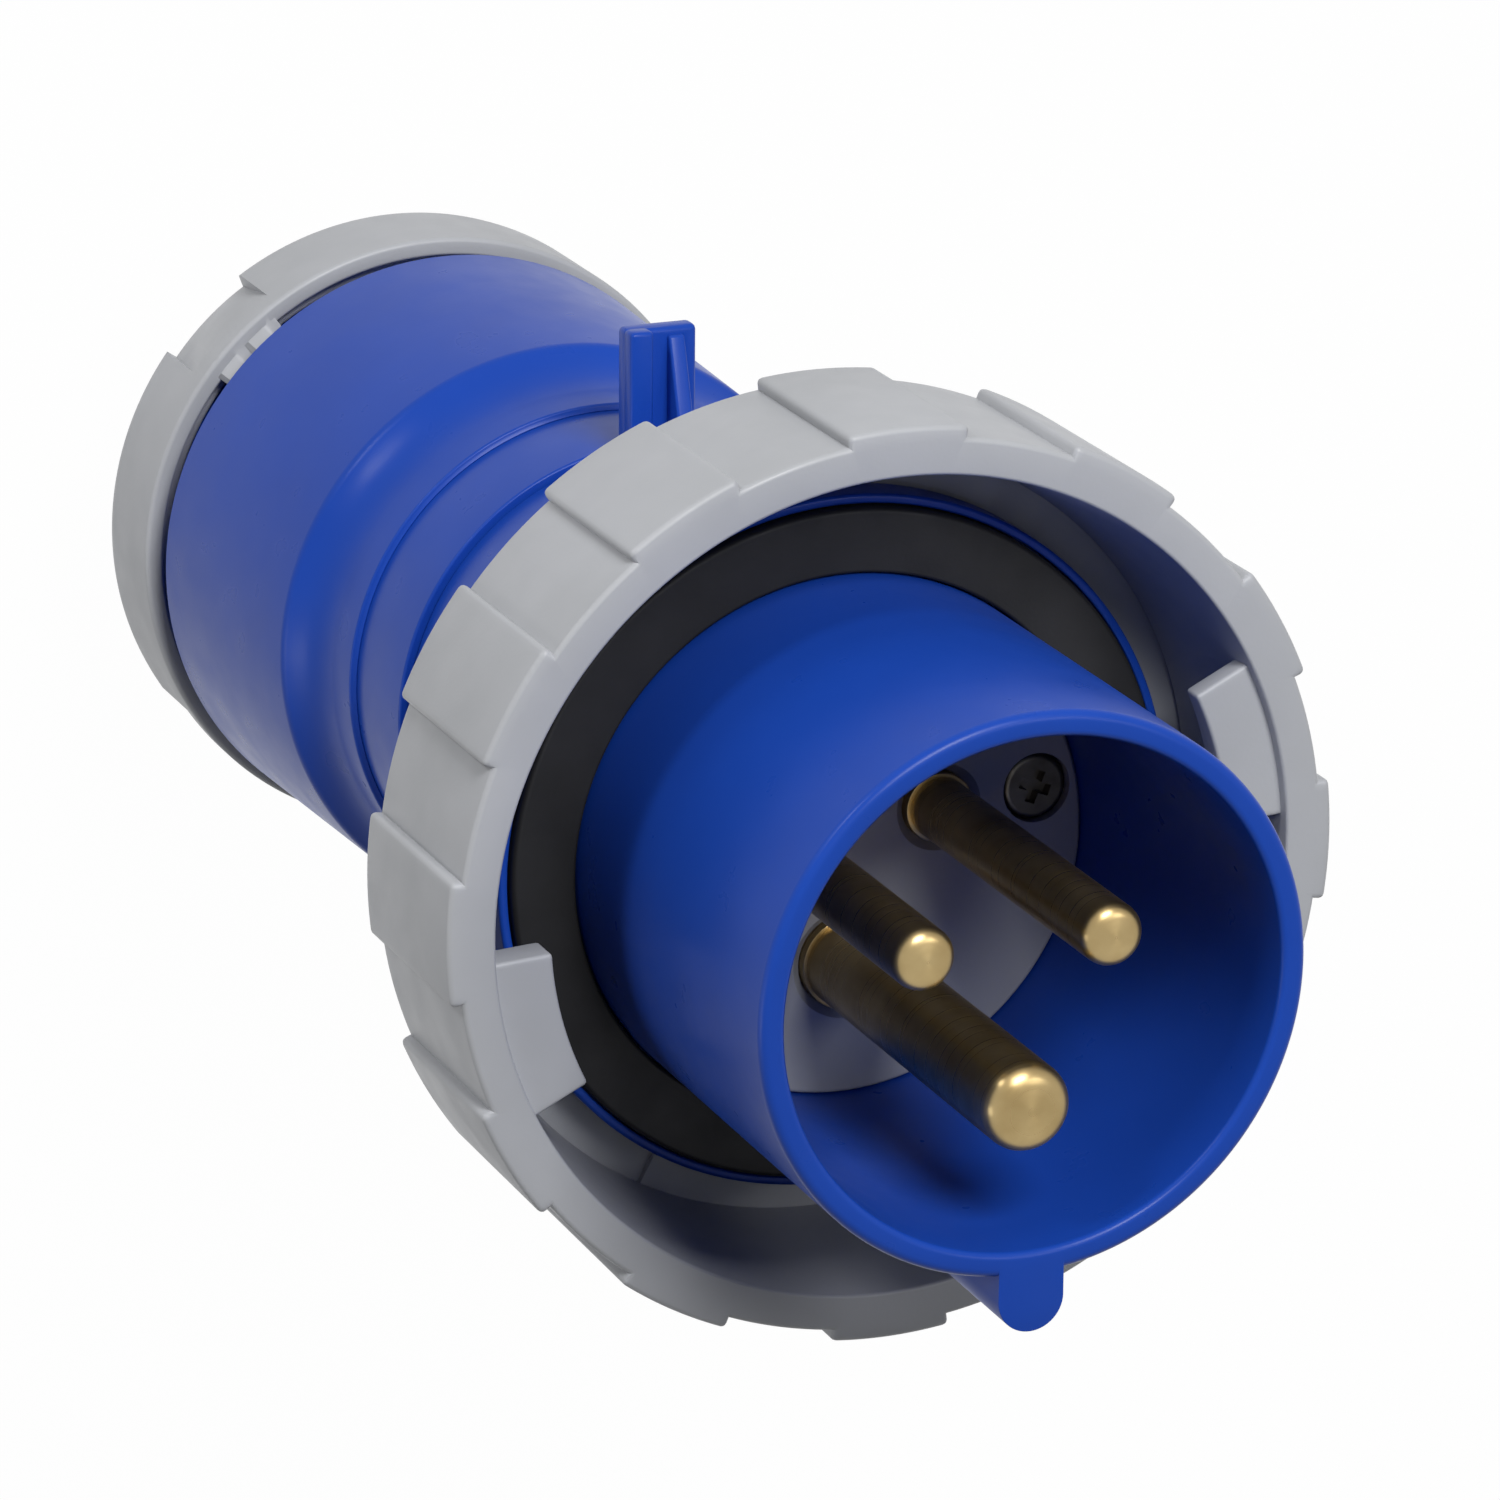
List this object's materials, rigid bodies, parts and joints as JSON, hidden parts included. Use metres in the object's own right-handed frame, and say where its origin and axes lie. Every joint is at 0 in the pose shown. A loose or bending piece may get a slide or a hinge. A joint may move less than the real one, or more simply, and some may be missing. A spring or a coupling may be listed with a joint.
{
  "type": "pin and sleeve plug",
  "caption": "Industrial plug with brass contact pins inside a keyed sleeve, a bayonet locking ring with a sealing gasket, and a clamping cable gland.",
  "frame": {"origin": "on the plug's axis, in the plane of the sleeve's mouth", "axes": "+Z is the way the plug goes into its socket, -Z runs back to the cable and the gland nut that it stands on, +Y is the side of the retaining nose, and the earth pin and the keyway rib are on the -Y side"},
  "size_m": [0.0736, 0.0736, 0.15],
  "materials": {
    "housing_plastic": "satin moulded polyamide",
    "ring_plastic": "satin moulded polyamide",
    "carrier_plastic": "satin moulded polyamide",
    "cage_plastic": "satin moulded polyamide",
    "washer_plastic": "smooth slippery plastic",
    "gasket_rubber": "matt moulded rubber",
    "seal_rubber": "matt moulded rubber",
    "bush_rubber": "matt moulded rubber",
    "pin_brass": "fine turned brass",
    "screw_steel": "zinc plated steel",
    "plate_steel": "nickel plated steel"
  },
  "bodies": {
    "housing": {"front_housing": "housing_plastic", "rear_housing": "housing_plastic", "face_gasket": "gasket_rubber", "pin_carrier": "carrier_plastic", "live_pin": "pin_brass", "neutral_pin": "pin_brass", "earth_pin": "pin_brass", "live_terminal_screw": "screw_steel", "neutral_terminal_screw": "screw_steel", "earth_terminal_screw": "screw_steel", "live_pressure_plate": "plate_steel", "neutral_pressure_plate": "plate_steel", "earth_pressure_plate": "plate_steel", "right_carrier_screw": "screw_steel", "left_carrier_screw": "screw_steel", "housing_seal": "seal_rubber", "gland_seal": "bush_rubber", "clamp_cage": "cage_plastic"},
    "locking_ring": {"locking_ring": "ring_plastic"},
    "thrust_washer": {"thrust_washer": "washer_plastic"},
    "gland_nut": {"gland_nut": "ring_plastic"}
  },
  "joints": [
    {"name": "ring_turn", "type": "hinge", "parent": "housing", "child": "locking_ring", "pos_m": [0, 0, -0.0424], "axis": [0, 0, 1], "range_deg": [0, 60]},
    {"name": "gland_travel", "type": "slide", "parent": "housing", "child": "thrust_washer", "axis": [0, 0, -1], "range_m": [0, 0.009]},
    {"name": "nut_turn", "type": "hinge", "parent": "thrust_washer", "child": "gland_nut", "pos_m": [0, 0, -0.139], "axis": [0, 0, -1], "range_deg": [0, 1080]}
  ],
  "couplings": [
    {"joint": "nut_turn", "follows": "gland_travel", "rad_per_m": 2094.4}
  ]
}
